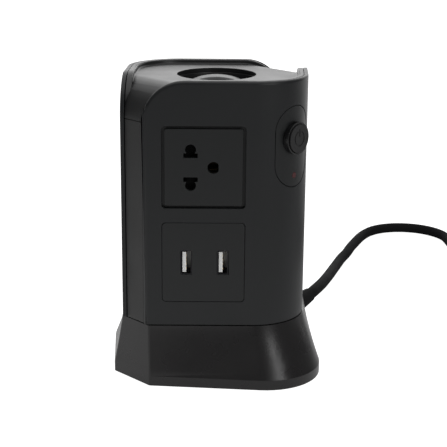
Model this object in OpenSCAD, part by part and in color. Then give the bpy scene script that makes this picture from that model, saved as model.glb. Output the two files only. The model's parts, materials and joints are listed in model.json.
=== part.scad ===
/* [Tower] */
// Width of the tower between its two side walls
body_w = 101; // [97:1:106]
// Depth of the tower between its front and rear faces
body_d = 82.6; // [80:0.2:88]
// Height of the shells' top rims above the table
body_h = 165.5; // [160:0.5:176]
// Radius of the two large upright corners
corner_r = 29; // [26:1:31]
// Wall thickness of the shells, covers and skirt
wall = 2.2; // [1.8:0.1:2.6]
// Height by which the shells' rims stand above the top cover
rim_proud = 2.5; // [1.5:0.1:3.5]
// Radius of the rounded upper corner of each main face
shell_corner_r = 22; // [16:1:24]
// Radius of the rounded upper end of each side wall
side_corner_r = 22; // [14:1:24]
// Distance from the tower's axis to the free upright edge of each main face
face_end = 38.5; // [36:0.5:40]
// Distance from the tower's axis to the free end of each side wall
side_end = 28.6; // [26:0.2:30]
// Outward splay of each side wall between the large corner and its free end
splay = 1.8; // [0:0.1:2.4]
// Rounding of each shell's free upright edge
edge_r = 3; // [1:0.1:3.2]
// Radius of the shoulder where the top cover turns down each bevel
shoulder_r = 20; // [14:1:22]
// Drop from the shells' rims to the seam between the top cover and the side panels
shoulder_drop = 21.6; // [20.6:0.5:26.1]
// Width of the top cover's raised border along the shells
border_w = 3; // [2:0.1:4]
// Gap left between neighbouring covers
seam = 0.15; // [0.1:0.05:0.3]

/* [Skirt] */
// Height of the seam between the tower and its skirt
skirt_h = 33.5; // [30:0.5:36]
// Height of the skirt's upright foot rim
rim_h = 5.5; // [3:0.1:7]
// Clearance under the foot rim
rim_gap = 0.3; // [0.2:0.1:1.2]
// Step by which the skirt's top stands outside the tower
skirt_lip = 0.5; // [0.3:0.1:1]
// Flare of the skirt's long side at its bevelled end
flare_long_near = 4.1; // [3:0.1:6]
// Flare of the skirt's long side at its large corner
flare_long_far = 9.9; // [8:0.1:11]
// Flare of the skirt's short side at its bevelled end
flare_short_near = 5.2; // [4:0.1:7]
// Flare of the skirt's short side at its large corner
flare_short_far = 8; // [7:0.1:9]
// Sideways shift of the skirt's bevel edge between its top and its foot
flare_face_near = 3.1; // [1:0.1:4]
// Rounding of the skirt's bevel edges
bevel_r = 2.2; // [1:0.1:3]
// Radius of each rubber foot
foot_r = 6; // [5:0.5:7]
// Height of each rubber foot
foot_h = 2.6; // [2.2:0.1:3]

/* [Grip] */
// Radius of the round finger recess in the top
recess_r = 21.4; // [20:0.2:22]
// Depth of the finger recess
recess_depth = 22; // [18:0.5:23]
// Radius of the arch of the carrying bar
arch_r = 34.5; // [30:0.5:40]
// Width of the carrying bar
bar_w = 14; // [12:0.5:16]
// Thickness of the carrying bar
bar_t = 7; // [5:0.5:8]
// Depth of the arch's crown below the top cover
crown_drop = 0.8; // [0.4:0.1:1.5]

/* [Sockets] */
// Side of the square openings in the main faces
panel_w = 43.8; // [42:0.2:45]
// Distance from the tower's axis to the panels' centre line
panel_x = 6.5; // [6:0.1:7]
// Share of the free height that lies below the lower panels
low_share = 0.306; // [0.28:0.002:0.33]
// Share of the free height that lies between the lower and the upper panels
mid_share = 0.174; // [0.15:0.002:0.2]
// Width of the groove round a socket face
groove = 1.6; // [0.8:0.1:1.8]
// Distance between the round holes for the two power pins
pin_pitch = 19; // [18.8:0.1:19.4]
// Distance between the flat slots for the two power pins
slot_pitch = 12.7; // [12.4:0.1:13]
// Distance from the power holes to the earth hole
earth_dx = 11.89; // [11.6:0.01:12.2]
// Diameter of the round pin holes
hole_d = 5.6; // [5.2:0.1:6]
// Diameter of the round pins
pin_d = 4.8; // [4.6:0.1:5]
// Travel of a socket's safety shutter
shutter_travel = 9; // [8.8:0.1:9.2]
// Height of a usb port's metal shell
usb_h = 13.1; // [13:0.1:13.4]
// Width of a usb port's metal shell
usb_w = 5.7; // [5.6:0.1:6]
// Distance between the two usb ports
usb_pitch = 19.3; // [18:0.1:20]

/* [Control] */
// Direction of the control panel, round from the front face
control_angle = 48; // [42:1:50]
// Drop from the shells' rims to the control panel's centre
control_drop = 35.4; // [33:0.2:38]
// Width of the control panel's pill outline
pill_w = 25.6; // [24:0.2:27]
// Height of the control panel's pill outline
pill_h = 43.6; // [42:0.2:45]
// Height of the button above the control panel's centre
button_dz = 4.5; // [3:0.1:6]
// Diameter of the push button's cap
button_d = 15; // [14:0.2:16]
// Height by which the cap stands proud of the corner
button_proud = 2.8; // [2.6:0.1:4]
// Travel of the push button
button_travel = 2.5; // [1.5:0.1:2.5]
// Diameter of the collar round the button
collar_d = 17.4; // [16.8:0.2:18.4]
// Height by which the collar stands proud of the corner
collar_proud = 2.1; // [1.5:0.1:2.5]
// Distance of the indicator below the control panel's centre
lamp_dz = 15.5; // [13:0.5:17]
// Diameter of the indicator lens
lamp_d = 3; // [2.6:0.1:3.4]

/* [Cord] */
// Diameter of the mains cord
cord_d = 7.1; // [6.8:0.1:8]
// Height of the strain relief's centre line
relief_z = 18.6; // [16:0.2:20]
// Direction in which the strain relief points, round from the right side
relief_turn = 62; // [48:1:64]
// Length of the strain relief from the tower's bevel
relief_len = 24; // [20:0.5:26]
// Diameter of the strain relief's free end
relief_d = 8.6; // [8.4:0.2:10.6]
// Gap between neighbouring turns of the coiled cord
coil_space = 0.55; // [0.45:0.05:1]
// Mean diameter of the coiled cord
coil_d = 82; // [80:1:88]
// Width of the moulded plug
plug_w = 36; // [34:1:40]
// Length of the moulded plug
plug_len = 38; // [34:1:42]
// Thickness of the moulded plug
plug_t = 25; // [24:0.5:28]

/* [Hidden] */
$fn = 72;
hw = body_w / 2;
hd = body_d / 2;
cx = hw - splay - corner_r;
cy = -(hd - corner_r);
over = 1;
big = 2 * body_w;
core_in = wall + 2 * seam;
cover_z = body_h - rim_proud;
shoulder_z = body_h - shoulder_drop;
control_z = body_h - control_drop;
free_h = body_h - skirt_h - 2 * panel_w;
lower_z = skirt_h + low_share * free_h + panel_w / 2;
upper_z = lower_z + panel_w + mid_share * free_h;

// Side wall: it leaves the large corner at this angle and runs straight to its free end
side_reach = [hw - cx, side_end - cy];
side_turn = atan2(side_reach[1], side_reach[0]) - acos(corner_r / norm(side_reach));
side_lap = 0.02;
side_dir = [-sin(side_turn), cos(side_turn)];
function side_touch(r) = [cx, cy] + (r - side_lap) * [cos(side_turn), sin(side_turn)];
function side_at(r, y) = side_touch(r) + side_dir * (y - side_touch(r)[1]) / side_dir[1];

// Bevel plane between the free edges of the two shells
bevel_a = [-face_end, -(hd - core_in)];
bevel_b = [-(hw - core_in), -side_end];
bevel_dir = (bevel_a - bevel_b) / norm(bevel_a - bevel_b);
bevel_n = [bevel_dir[1], -bevel_dir[0]];
bevel_dist = bevel_n * bevel_a;
bevel_turn = atan2(bevel_n[1], bevel_n[0]);

// Plan of one shell with all that it encloses
module shell_outer_plan() {
  translate([-face_end, -hd + edge_r]) square([face_end + cx, hd - edge_r]);
  translate([-face_end + edge_r, -hd]) square([face_end - edge_r + cx, hd]);
  translate([-face_end + edge_r, -hd + edge_r]) circle(edge_r);
  translate([cx, cy]) circle(corner_r);
  polygon([[cx, cy], side_touch(corner_r), side_at(corner_r, side_end), [cx, side_end]]);
}

// Room inside one shell's wall
module shell_inner_plan() {
  translate([-big, -hd + wall]) square([big + cx, big]);
  translate([cx, cy]) circle(corner_r - wall);
  side_room(corner_r - wall);
}

// All that lies inside the side wall's plane and beyond its large corner
module side_room(r) {
  from = side_touch(r);
  polygon([[-big, from[1]], from, from + big * side_dir, [-big, from[1] + big]]);
}

// All that lies inside one large corner and its side wall
module core_half(inset) {
  translate([-big, -big]) square([big + cx, 2 * big]);
  translate([cx, cy]) circle(corner_r - inset);
  side_room(corner_r - inset);
}

// Plan of the tower inside its shells, with the two bevels
module core_plan(inset, bevel_inset) {
  difference() {
    intersection() {
      square([2 * body_w, 2 * (hd - inset)], center = true);
      core_half(inset);
      rotate(180) core_half(inset);
    }
    for (turn = [0, 180])
      rotate(turn + bevel_turn)
        translate([bevel_dist - bevel_inset, -big]) square([big, 2 * big]);
  }
}

// Face outline with its rounded upper free corner, which may stand back from the free edge
module face_profile(back = 0) {
  free = -face_end + back;
  rotate([90, 0, 0]) linear_extrude(2 * big, center = true) {
    translate([free, 0]) square([big, body_h - shell_corner_r]);
    translate([free + shell_corner_r, 0]) square([big, body_h]);
    translate([free + shell_corner_r, body_h - shell_corner_r]) circle(shell_corner_r);
  }
}

// Side outline with its rounded upper free end, which may stand back likewise
module side_profile(back = 0) {
  free = side_end - back;
  rotate([90, 0, 90]) linear_extrude(2 * big, center = true) {
    translate([-big, 0]) square([big + free, body_h - side_corner_r]);
    translate([-big, 0]) square([big + free - side_corner_r, body_h]);
    translate([free - side_corner_r, body_h - side_corner_r]) circle(side_corner_r);
  }
}

module shell_wall() {
  intersection() {
    translate([0, 0, skirt_h + 2 * seam]) linear_extrude(body_h - skirt_h - 2 * seam) difference() {
      shell_outer_plan();
      shell_inner_plan();
    }
    face_profile();
    side_profile();
  }
}

// Square with rounded corners, centred
module rounded_square(side, r) {
  square([side - 2 * r, side], center = true);
  square([side, side - 2 * r], center = true);
  for (sx = [-1, 1], sy = [-1, 1])
    translate([sx * (side / 2 - r), sy * (side / 2 - r)]) circle(r, $fn = 32);
}

// Frame of a panel on a main face: x right, y up, z out of the face
module at_panel(turn, z) {
  rotate([0, 0, turn]) translate([-panel_x, -hd, z]) rotate([90, 0, 0]) children();
}

panel_corner_r = 2;
module panel_opening() {
  translate([0, 0, -wall - over]) linear_extrude(wall + 2 * over)
    rounded_square(panel_w, panel_corner_r);
}

// Frame of the control panel: -y points out of the large corner
module at_control(z) {
  translate([cx, cy, z]) rotate([0, 0, control_angle]) children();
}

module pill(w, h) {
  square([w, h - w], center = true);
  for (s = [-1, 1]) translate([0, s * (h - w) / 2]) circle(w / 2);
}

module pill_prism(w, h) {
  at_control(control_z) rotate([90, 0, 0]) linear_extrude(corner_r + over) pill(w, h);
}

module front_shell() {
  color("#26272a") difference() {
    shell_wall();
    at_panel(0, upper_z) panel_opening();
    at_panel(0, lower_z) panel_opening();
    pill_prism(pill_w, pill_h);
  }
}

module rear_shell() {
  color("#26272a") difference() {
    rotate([0, 0, 180]) shell_wall();
    at_panel(180, upper_z) panel_opening();
    at_panel(180, lower_z) panel_opening();
  }
}

// Block whose two bevel sides turn into its top over a round shoulder
module shouldered(inset) {
  top = cover_z - inset;
  r = shoulder_r - inset;
  reach = bevel_dist - inset;
  intersection_for (turn = [0, 180])
    rotate([0, 0, turn + bevel_turn]) rotate([90, 0, 0]) linear_extrude(2 * big, center = true) {
      translate([-big, 0]) square([big + reach, top - r]);
      translate([-big, 0]) square([big + reach - r, top]);
      translate([reach - r, top - r]) circle(r);
    }
}

// Half of the cover's raised border: it lies along one shell's wall and is level with its rim
border_back = 1;
module cover_border() {
  intersection() {
    translate([0, 0, shoulder_z]) linear_extrude(body_h - shoulder_z) difference() {
      core_plan(core_in, 0);
      core_plan(core_in + border_w, -over);
    }
    face_profile(border_back);
    side_profile(border_back);
  }
}

module top_cover() {
  color("#2a2b2e") difference() {
    union() {
      intersection() {
        translate([0, 0, shoulder_z]) linear_extrude(cover_z - shoulder_z) core_plan(core_in, 0);
        shouldered(0);
      }
      for (turn = [0, 180]) rotate([0, 0, turn]) cover_border();
    }
    intersection() {
      linear_extrude(cover_z - wall) core_plan(core_in + wall, wall);
      shouldered(wall);
    }
    cylinder(h = body_h, r = recess_r);
    for (turn = [0, 180]) at_panel(turn, upper_z) translate([0, 0, -face_t - 2 * seam])
      linear_extrude(face_t) rounded_square(flange_w + 2 * seam, panel_corner_r);
    at_control(button_at) outward(0, corner_r) circle(flange_r + 2 * seam);
  }
}

// Round finger well with its arched carrying bar, one moulding
well_taper = 2;
arch_cz = cover_z - crown_drop - arch_r;
well_floor = cover_z - recess_depth;
module grip_well() {
  color("#242528") {
    rotate_extrude() polygon([
      [0, well_floor - wall], [recess_r - well_taper + wall, well_floor - wall],
      [recess_r + wall, cover_z - wall], [recess_r, cover_z - wall],
      [recess_r - well_taper, well_floor], [0, well_floor]
    ]);
    intersection() {
      cylinder(h = body_h, r = recess_r - seam);
      translate([0, 0, arch_cz]) rotate([90, 0, 0])
        linear_extrude(bar_w, center = true) difference() {
          circle(arch_r, $fn = 144);
          circle(arch_r - bar_t, $fn = 144);
          translate([-big, -big]) square([2 * big, big]);
        }
    }
    for (side = [-1, 1]) bar_root(side);
  }
}

// Root by which the carrying bar grows out of the well's wall
root_in = 1.4;
module bar_root(side) {
  foot = arch_cz + sqrt(pow(arch_r - bar_t, 2) - pow(recess_r - root_in, 2));
  head = arch_cz + sqrt(pow(arch_r, 2) - pow(recess_r, 2));
  intersection() {
    difference() {
      cylinder(h = cover_z - wall, r = recess_r + wall / 2);
      cylinder(h = cover_z, r = recess_r - root_in);
    }
    translate([side * recess_r, 0, (foot + head) / 2])
      cube([2 * root_in + wall, bar_w, head - foot], center = true);
  }
}

module side_panel() {
  color("#2c2d30")
    translate([0, 0, skirt_h + 2 * seam])
      linear_extrude(shoulder_z - skirt_h - 3 * seam) intersection() {
        difference() {
          core_plan(core_in, 0);
          core_plan(0, wall);
        }
        translate([-big, -big]) square([big, big]);
      }
}

module left_side_panel() { side_panel(); }

module right_side_panel() { rotate([0, 0, 180]) side_panel(); }

// Skirt outlines: each half is its bevel's two corners, then its large corner
function fillet(p, v, n, r, steps) =
  let (
    u = (p - v) / norm(p - v), w = (n - v) / norm(n - v),
    half = acos(u * w) / 2,
    c = v + (u + w) / norm(u + w) * r / sin(half),
    from = v + u * r / tan(half) - c, to = v + w * r / tan(half) - c,
    a = atan2(from[1], from[0]), turn = 180 - 2 * half
  )
  [for (k = [0:steps]) c + r * [cos(a + turn * k / steps), sin(a + turn * k / steps)]];

function mitre(p, v, n, inset) =
  let (u = (p - v) / norm(p - v), w = (n - v) / norm(n - v), half = acos(u * w) / 2)
  v + (u + w) / norm(u + w) * inset / sin(half);

// Angle on a circle where the line from a point touches it
function touch(p, c, r, side) =
  let (v = p - c, turn = atan2(v[1], v[0])) (turn < 0 ? turn + 360 : turn) + side * acos(r / norm(v));

corner_steps = 4;
arc_steps = 14;
function half_outline(near, c, r, far, small_r, inset) =
  let (
    first = -far,
    a1 = mitre(-c - [r, 0], first, near, inset),
    a2 = mitre(first, near, c - [0, r], inset),
    b1 = -a1,
    rr = r - inset,
    start = touch(a2, c, rr, 1),
    stop = touch(b1, c, rr, -1) + 360,
    back = -c + rr * [cos(stop - 180), sin(stop - 180)],
    front = c + rr * [cos(start), sin(start)]
  )
  concat(
    fillet(back, a1, a2, small_r, corner_steps),
    fillet(a1, a2, front, small_r, corner_steps),
    [for (k = [0:arc_steps])
      c + rr * [cos(start + (stop - start) * k / arc_steps), sin(start + (stop - start) * k / arc_steps)]]
  );
function whole_outline(half) = concat(half, [for (p = half) -p]);

top_corner = [cx, cy];
top_far = [hw + skirt_lip, side_end - (core_in + skirt_lip) * bevel_dir[1] / -bevel_dir[0]];
top_near = [-face_end + (core_in + skirt_lip) * bevel_dir[0] / -bevel_dir[1], -(hd + skirt_lip)];
foot_far = [hw + flare_short_near, side_end - flare_long_near];
foot_near = [-face_end + flare_face_near, -(hd + flare_long_near)];
foot_corner_r = corner_r + wall;
foot_corner = [hw + flare_short_far - foot_corner_r, -(hd + flare_long_far - foot_corner_r)];
function top_outline(inset) =
  whole_outline(half_outline(top_near, top_corner, corner_r + skirt_lip, top_far, bevel_r, inset));
function foot_outline(inset) =
  whole_outline(half_outline(foot_near, foot_corner, foot_corner_r, foot_far, bevel_r, inset));

flare_bend = 1.12;
flare_levels = 8;
function flare_level(s, inset) =
  let (a = top_outline(inset), b = foot_outline(inset), m = pow(s, flare_bend))
  [for (k = [0:len(a) - 1]) a[k] * (1 - m) + b[k] * m];
function lifted(points, z) = [for (p = points) [p[0], p[1], z]];

// Solid through a stack of outlines with as many points each
module loft(levels) {
  n = len(levels[0]);
  m = len(levels);
  polyhedron(
    points = [for (level = levels, p = level) p],
    faces = concat(
      [[for (k = [0:n - 1]) k]],
      [for (j = [0:m - 2], k = [0:n - 1]) [j * n + k, (j + 1) * n + k, (j + 1) * n + (k + 1) % n]],
      [for (j = [0:m - 2], k = [0:n - 1]) [j * n + k, (j + 1) * n + (k + 1) % n, j * n + (k + 1) % n]],
      [[for (k = [n - 1:-1:0]) (m - 1) * n + k]]
    ),
    convexity = 4
  );
}

rim_top = rim_gap + rim_h;
module skirt_solid(inset, bottom, top) {
  loft(concat(
    [lifted(foot_outline(inset), bottom)],
    [for (j = [0:flare_levels])
      lifted(flare_level(1 - j / flare_levels, inset), rim_top + (top - rim_top) * j / flare_levels)]
  ));
}

// Places of the screws, on one half of the base
base_screw_at = [[-hw * 0.6, -hd * 0.36], [hw * 0.5, -hd * 0.88]];
tower_screw_at = [[-hw * 0.16, -hd * 0.74], [hw * 0.74, -hd * 0.2]];
foot_at = [[-hw * 0.86, -hd * 0.3], [hw * 0.2, -hd * 0.98]];
module twice(places) {
  for (turn = [0, 180], p = places) rotate([0, 0, turn]) translate([p[0], p[1], 0]) children();
}

screw_r = 1.5;
screw_head_r = 3;
screw_head_h = 2;
boss_r = 3.6;
thread_gap = 0.05;
bore_r = screw_r + thread_gap;
plate_up = 0.9;
plate_z = rim_gap + plate_up;
plate_t = 2.4;
deck_t = 3;
cable_hole_r = 6.4;
cable_at = [-hw * 0.24, hd * 0.54];

// Frame of the strain relief: +z runs out of the skirt's rear bevel
relief_share = 0.82;
relief_mid = -(bevel_a * (1 - relief_share) + bevel_b * relief_share);
module at_relief() {
  translate([relief_mid[0], relief_mid[1], relief_z])
    rotate([0, 0, relief_turn]) rotate([0, 90, 0]) children();
}

relief_neck = 0.4;
relief_neck_r = relief_d / 2 + relief_neck;
module base_skirt() {
  color("#1f2022") difference() {
    union() {
      difference() {
        skirt_solid(0, rim_gap, skirt_h);
        skirt_solid(wall, rim_gap - over, skirt_h - wall);
      }
      twice(base_screw_at)
        translate([0, 0, plate_z + plate_t])
          cylinder(h = skirt_h - wall - plate_z - plate_t + seam, r = boss_r);
    }
    translate([cable_at[0], cable_at[1], skirt_h - wall - over])
      cylinder(h = wall + 2 * over, r = cable_hole_r);
    twice(base_screw_at) cylinder(h = skirt_h - wall, r = bore_r);
    twice(tower_screw_at) translate([0, 0, skirt_h - wall - over])
      cylinder(h = wall + 2 * over, r = screw_r + seam);
    at_relief() translate([0, 0, -2 * wall]) cylinder(h = relief_len, r = relief_neck_r + seam);
  }
}

module base_plate() {
  color("#1c1d1f") difference() {
    loft([for (z = [plate_z, plate_z + plate_t]) lifted(foot_outline(wall + 2 * seam), z)]);
    twice(foot_at) translate([0, 0, plate_z - over])
      cylinder(h = over + foot_h - plate_z + seam, r = foot_r + seam);
    twice(base_screw_at) translate([0, 0, plate_z - over])
      cylinder(h = plate_t + 2 * over, r = screw_r + seam);
    twice(base_screw_at) translate([0, 0, plate_z - over])
      cylinder(h = over + screw_head_h / 2, r = screw_head_r + seam);
  }
}

module base_feet() {
  color("#101112") twice(foot_at) cylinder(h = foot_h, r = foot_r);
}

cross_w = 0.8;
module screw(len) {
  difference() {
    union() {
      translate([0, 0, -screw_head_h / 2]) cylinder(h = screw_head_h, r = screw_head_r, $fn = 32);
      cylinder(h = len, r = screw_r, $fn = 32);
    }
    for (turn = [0, 90]) rotate([0, 0, turn])
      translate([0, 0, -screw_head_h / 2]) cube([screw_head_r * 1.2, cross_w, screw_head_h], center = true);
  }
}

base_screw_len = 12;
module base_screws() {
  color("silver") twice(base_screw_at) translate([0, 0, plate_z]) screw(base_screw_len);
}

tower_screw_len = 10;
module tower_screws() {
  color("silver") twice(tower_screw_at)
    translate([0, 0, skirt_h - wall - screw_head_h / 2]) screw(tower_screw_len);
}

// Socket pieces in the panel's frame
face_t = 2 * wall;
flange_lap = 1.5;
flange_w = panel_w + 2 * flange_lap;
holder_w = flange_w - 1;
holder_depth = 17;
pocket_d = 3.2;
hole_shift = 0.85;
hole_x = -earth_dx / 2 - hole_shift;
earth_x = hole_x + earth_dx;
slot_w = 7.4;
slot_h = 2.4;
earth_r = 3.1;
earth_flat_share = 0.85;

module power_holes(grow) {
  for (s = [-1, 1]) translate([hole_x, s * pin_pitch / 2]) circle(hole_d / 2 + grow, $fn = 48);
  for (s = [-1, 1]) translate([hole_x, s * slot_pitch / 2])
    square([slot_w, slot_h] + 2 * [grow, grow], center = true);
  for (s = [-1, 1]) translate([hole_x, s * (pin_pitch + slot_pitch) / 4])
    square([slot_h, (pin_pitch - slot_pitch) / 2], center = true);
}

module earth_hole(grow) {
  intersection() {
    translate([earth_x, 0]) circle(earth_r + grow, $fn = 48);
    translate([earth_x - earth_r - grow, -earth_r - grow])
      square([(1 + earth_flat_share) * earth_r + 2 * grow, 2 * (earth_r + grow)]);
  }
}

module socket_face() {
  color("#232427") difference() {
    union() {
      translate([0, 0, -wall - seam]) linear_extrude(wall + seam)
        rounded_square(panel_w - 2 * groove, panel_corner_r - groove / 2);
      translate([0, 0, -face_t - seam]) linear_extrude(wall) rounded_square(flange_w, panel_corner_r);
    }
    translate([0, 0, -face_t - over]) linear_extrude(face_t + 2 * over) {
      power_holes(0);
      earth_hole(0);
    }
  }
}

// Shutter: two pads that cover the power holes, on one upright rail
shutter_gap = 0.4;
pad_lap = 0.6;
pad_w = slot_w + 2 * pad_lap;
pad_h = (pin_pitch - slot_pitch) / 2 + hole_d / 2 + slot_h / 2 + pad_lap;
pad_y = (pin_pitch + slot_pitch) / 4 + (hole_d - slot_h) / 4;
rail_w = 2;
tab_w = 4;
rail_x = hole_x - pad_w / 2 - rail_w / 2;
shutter_t = pocket_d - 2 * shutter_gap;
front_z = -face_t - seam;
spring_x = rail_x - rail_w / 2 - tab_w / 2;
spring_top = pad_y + pad_h / 2 - rail_w;
spring_len = 21;
spring_r = 1.3;
wire_r = 0.25;

pocket_low = -pad_y - pad_h / 2 - shutter_travel - shutter_gap;
pocket_high = pad_y + pad_h / 2 + shutter_gap;
module holder_pocket() {
  left = rail_x - rail_w / 2 - shutter_gap;
  right = hole_x + pad_w / 2 + shutter_gap;
  translate([left, pocket_low, front_z - pocket_d])
    cube([right - left, pocket_high - pocket_low, pocket_d + over]);
  spring_low = spring_top - spring_len;
  far = spring_x - tab_w / 2 - shutter_gap;
  translate([far, spring_low, front_z - pocket_d])
    cube([left - far + over, pocket_high - spring_low, pocket_d + over]);
}

chamber_w = 9;
chamber_h = 8.6;
chamber_d = 12;
tail_w = 3;
module socket_holder() {
  top = front_z - pocket_d;
  color("#3a3b3e") difference() {
    translate([-holder_w / 2, pocket_low - wall, front_z - holder_depth])
      cube([holder_w, pocket_high - pocket_low + 2 * wall, holder_depth]);
    holder_pocket();
    for (s = [-1, 1]) translate([hole_x, s * pad_y, top - chamber_d / 2 + over / 2])
      cube([chamber_w, chamber_h, chamber_d + over], center = true);
    translate([earth_x, 0, top - chamber_d / 2 + over / 2])
      cube([chamber_h, chamber_h, chamber_d + over], center = true);
    translate([0, 0, top]) linear_extrude(pocket_d + over) earth_hole(seam);
    for (p = [[hole_x, pad_y], [hole_x, -pad_y], [earth_x, 0]])
      translate([p[0], p[1], front_z - holder_depth - over]) linear_extrude(holder_depth)
        square([tail_w + 2 * seam, contact_t + 2 * seam], center = true);
  }
}

// Spring clip: two leaves round the pin, a back and a tail
contact_t = 0.8;
module clip(w, h) {
  top = front_z - pocket_d - shutter_gap;
  back = top - chamber_d + 2 * shutter_gap;
  tail_end = front_z - holder_depth;
  for (s = [-1, 1]) translate([0, s * (h / 2 - contact_t / 2), (top + back) / 2])
    cube([w, contact_t, top - back], center = true);
  translate([0, 0, back + contact_t / 2]) cube([w, h, contact_t], center = true);
  translate([0, 0, (back + tail_end) / 2]) cube([tail_w, contact_t, back - tail_end], center = true);
}

module power_contacts() {
  color("#c8a24a") for (s = [-1, 1]) translate([hole_x, s * pad_y, 0])
    clip(chamber_w - 2 * shutter_gap, chamber_h - 2 * shutter_gap);
}

module earth_contact() {
  color("#c8a24a") translate([earth_x, 0, 0])
    clip(chamber_h - 2 * shutter_gap, pin_d + 2 * contact_t);
}

module socket_shutter() {
  z = front_z - shutter_gap - shutter_t;
  color("#303134") translate([0, 0, z]) {
    for (s = [-1, 1]) translate([hole_x, s * pad_y, shutter_t / 2])
      cube([pad_w, pad_h, shutter_t], center = true);
    translate([rail_x, 0, shutter_t / 2]) cube([rail_w + seam, 2 * pad_y + pad_h, shutter_t], center = true);
    translate([spring_x + rail_w / 4, spring_top + rail_w / 2, shutter_t / 2])
      cube([tab_w + rail_w / 2, rail_w, shutter_t], center = true);
  }
}

// Tube along a list of points, with flat ends
function unit(v) = v / norm(v);
function route_dir(p, k) =
  k == 0 ? unit(p[1] - p[0]) :
  k == len(p) - 1 ? unit(p[k] - p[k - 1]) :
  unit(unit(p[k + 1] - p[k]) + unit(p[k] - p[k - 1]));
module tube(p, r, sides, hint) {
  m = len(p);
  rings = [for (k = [0:m - 1])
    let (d = route_dir(p, k), a = unit(cross(hint, d)), b = cross(d, a))
    for (j = [0:sides - 1]) p[k] + r * (cos(360 * j / sides) * a + sin(360 * j / sides) * b)];
  polyhedron(
    points = rings,
    faces = concat(
      [[for (j = [0:sides - 1]) j]],
      [for (k = [0:m - 2], j = [0:sides - 1])
        [k * sides + j, (k + 1) * sides + j, (k + 1) * sides + (j + 1) % sides]],
      [for (k = [0:m - 2], j = [0:sides - 1])
        [k * sides + j, (k + 1) * sides + (j + 1) % sides, k * sides + (j + 1) % sides]],
      [[for (j = [sides - 1:-1:0]) (m - 1) * sides + j]]
    ),
    convexity = 10
  );
}

spring_turns = 9;
spring_rings = 10;
module shutter_spring() {
  n = spring_turns * spring_rings;
  low = spring_top - spring_len;
  points = [for (k = [0:n]) [
    spring_x + spring_r * cos(360 * k / spring_rings),
    low + wire_r + shutter_gap / 4 + (spring_len - 2 * wire_r - shutter_gap / 2) * k / n,
    front_z - pocket_d / 2 + spring_r * sin(360 * k / spring_rings)]];
  color("silver") tube(points, wire_r, 5, [0, 1, 0]);
}

// Usb pieces in the panel's frame
usb_dx = 0.6;
usb_depth = 14;
usb_in = 0.4;
usb_skin = 0.3;
usb_board_t = 1.6;
usb_board_z = -usb_in - usb_depth - usb_board_t;
tongue_h = 11.1;
tongue_w = 1.9;
module at_ports() {
  for (s = [-1, 1]) translate([usb_dx + s * usb_pitch / 2, 0, 0]) children();
}

module usb_panel() {
  color("#27282b") difference() {
    union() {
      translate([0, 0, -wall - seam]) linear_extrude(wall + seam)
        rounded_square(panel_w - 2 * seam, panel_corner_r);
      translate([0, 0, -face_t - seam]) linear_extrude(wall) rounded_square(flange_w, panel_corner_r);
    }
    at_ports() cube([usb_w + 2 * seam, usb_h + 2 * seam, big], center = true);
  }
}

module usb_port_shells() {
  color("silver") at_ports() difference() {
    translate([0, 0, -usb_in - usb_depth / 2]) cube([usb_w, usb_h, usb_depth], center = true);
    translate([0, 0, -usb_in - usb_depth / 2])
      cube([usb_w - 2 * usb_skin, usb_h - 2 * usb_skin, big], center = true);
  }
}

tongue_side = 0.6;
tongue_x = -usb_w / 2 + usb_skin + tongue_side + tongue_w / 2;
module usb_tongues() {
  base = usb_depth / 5;
  color("white") at_ports() {
    translate([0, 0, -usb_in - usb_depth + base / 2])
      cube([usb_w - 2 * usb_skin, usb_h - 2 * usb_skin, base], center = true);
    translate([tongue_x, 0, -2 * usb_in - usb_depth / 2])
      cube([tongue_w, tongue_h, usb_depth - 2 * usb_in], center = true);
  }
}

pad_count = 4;
strip_w = 1;
strip_t = 0.2;
strip_gap = 2.4;
module usb_contacts() {
  run = usb_depth * 0.6;
  color("gold") at_ports() for (k = [0:pad_count - 1])
    translate([
      tongue_x + tongue_w / 2 + strip_t / 2, (k - (pad_count - 1) / 2) * strip_gap, -4 * usb_in - run / 2
    ]) cube([strip_t, strip_w, run], center = true);
}

usb_board_w = 38;
module usb_board() {
  color("#1f6b3a") translate([0, 0, usb_board_z + usb_board_t / 2])
    cube([usb_board_w, usb_board_w, usb_board_t], center = true);
}

core_w = 15;
cap_r = 4;
module usb_board_parts() {
  deep = core_w * 0.66;
  color("#caa53a") translate([-core_w * 0.1, core_w * 0.55, usb_board_z - deep / 2])
    cube([core_w, core_w * 0.85, deep], center = true);
  color("#30384a") for (s = [0, 1]) translate([s * 3 * cap_r + cap_r, -core_w * 0.6, usb_board_z - deep])
    cylinder(h = deep, r = cap_r, $fn = 32);
  color("#222222") translate([core_w * 0.95, core_w * 0.5, usb_board_z - wall / 2])
    cube([cap_r * 1.5, cap_r * 2, wall], center = true);
}

// Control pieces
panel_fit = 0.35;
collar_r = collar_d / 2;
button_r = button_d / 2;
button_gap = 0.3;
button_at = control_z + button_dz;
lamp_at = control_z - lamp_dz;
switch_w = 14;
switch_len = 11;
core_r = 1.2;
wire_bend = 4 * core_r;
plunger_r = 3;
icon_r = button_r * 0.5;
icon_w = 0.8;
icon_depth = 0.3;

module outward(r0, r1) {
  translate([0, -r0, 0]) rotate([90, 0, 0]) linear_extrude(r1 - r0) children();
}

module control_panel() {
  color("#2b2c2f") difference() {
    intersection() {
      translate([cx, cy, 0]) difference() {
        cylinder(h = body_h, r = corner_r - panel_fit / 2, $fn = 144);
        cylinder(h = body_h, r = corner_r - wall, $fn = 144);
      }
      pill_prism(pill_w - 2 * panel_fit, pill_h - 2 * panel_fit);
    }
    at_control(button_at) outward(0, corner_r + over) circle(collar_r - panel_fit);
    at_control(lamp_at) outward(0, corner_r + over) circle(lamp_d / 2 + seam, $fn = 32);
  }
}

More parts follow.
